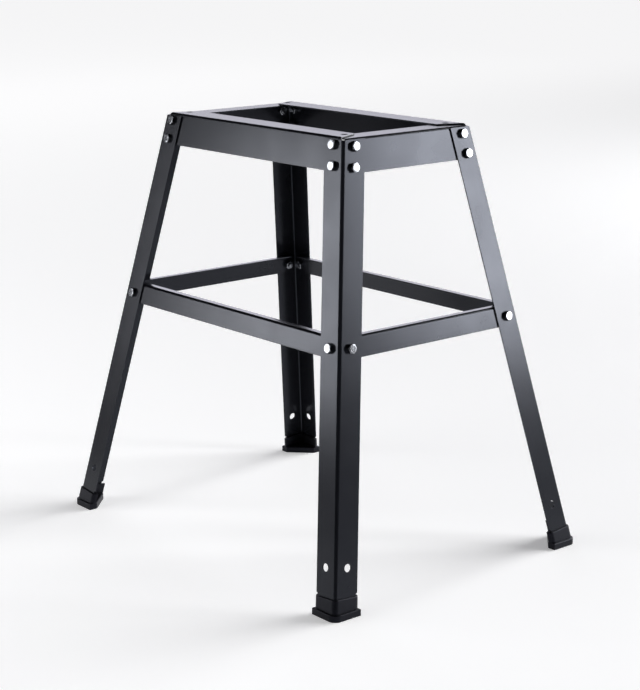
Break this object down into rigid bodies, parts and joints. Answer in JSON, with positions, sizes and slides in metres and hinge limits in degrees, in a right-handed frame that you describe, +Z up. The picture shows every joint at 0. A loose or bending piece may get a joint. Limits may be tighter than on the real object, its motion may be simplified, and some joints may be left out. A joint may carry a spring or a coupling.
{
  "type": "band saw stand",
  "caption": "Floor stand for a bench band saw: splayed angle-steel legs with rubber feet, bolted to a rectangular top frame and a ring of braces.",
  "frame": {"origin": "on the floor, below the middle of the top frame", "axes": "+X along the long side, +Y along the short side, towards the rear, +Z up"},
  "size_m": [0.6628, 0.4848, 0.642],
  "materials": {
    "coated_steel": "satin black powder coat on pressed steel sheet",
    "zinc": "bright zinc plate",
    "rubber": "matt moulded rubber"
  },
  "bodies": {
    "root": {"bolt_front_left_front_face_lower": "zinc", "bolt_front_left_front_face_upper": "zinc", "bolt_front_left_left_face_lower": "zinc", "bolt_front_left_left_face_upper": "zinc", "bolt_front_right_front_face_lower": "zinc", "bolt_front_right_front_face_upper": "zinc", "bolt_front_right_right_face_lower": "zinc", "bolt_front_right_right_face_upper": "zinc", "bolt_rear_left_left_face_lower": "zinc", "bolt_rear_left_left_face_upper": "zinc", "bolt_rear_left_rear_face_lower": "zinc", "bolt_rear_left_rear_face_upper": "zinc", "bolt_rear_right_rear_face_lower": "zinc", "bolt_rear_right_rear_face_upper": "zinc", "bolt_rear_right_right_face_lower": "zinc", "bolt_rear_right_right_face_upper": "zinc", "brace_bolt_front_left_front_face": "zinc", "brace_bolt_front_left_left_face": "zinc", "brace_bolt_front_right_front_face": "zinc", "brace_bolt_front_right_right_face": "zinc", "brace_bolt_rear_left_left_face": "zinc", "brace_bolt_rear_left_rear_face": "zinc", "brace_bolt_rear_right_rear_face": "zinc", "brace_bolt_rear_right_right_face": "zinc", "brace_front": "coated_steel", "brace_left": "coated_steel", "brace_rear": "coated_steel", "brace_right": "coated_steel", "foot_front_left": "rubber", "foot_front_right": "rubber", "foot_rear_left": "rubber", "foot_rear_right": "rubber", "leg_front_left": "coated_steel", "leg_front_right": "coated_steel", "leg_rear_left": "coated_steel", "leg_rear_right": "coated_steel", "nut_front_left_front_face_lower": "zinc", "nut_front_left_front_face_upper": "zinc", "nut_front_left_left_face_lower": "zinc", "nut_front_left_left_face_upper": "zinc", "nut_front_right_front_face_lower": "zinc", "nut_front_right_front_face_upper": "zinc", "nut_front_right_right_face_lower": "zinc", "nut_front_right_right_face_upper": "zinc", "nut_rear_left_left_face_lower": "zinc", "nut_rear_left_left_face_upper": "zinc", "nut_rear_left_rear_face_lower": "zinc", "nut_rear_left_rear_face_upper": "zinc", "nut_rear_right_rear_face_lower": "zinc", "nut_rear_right_rear_face_upper": "zinc", "nut_rear_right_right_face_lower": "zinc", "nut_rear_right_right_face_upper": "zinc", "top_rail_front": "coated_steel", "top_rail_left": "coated_steel", "top_rail_rear": "coated_steel", "top_rail_right": "coated_steel"}
  },
  "joints": []
}
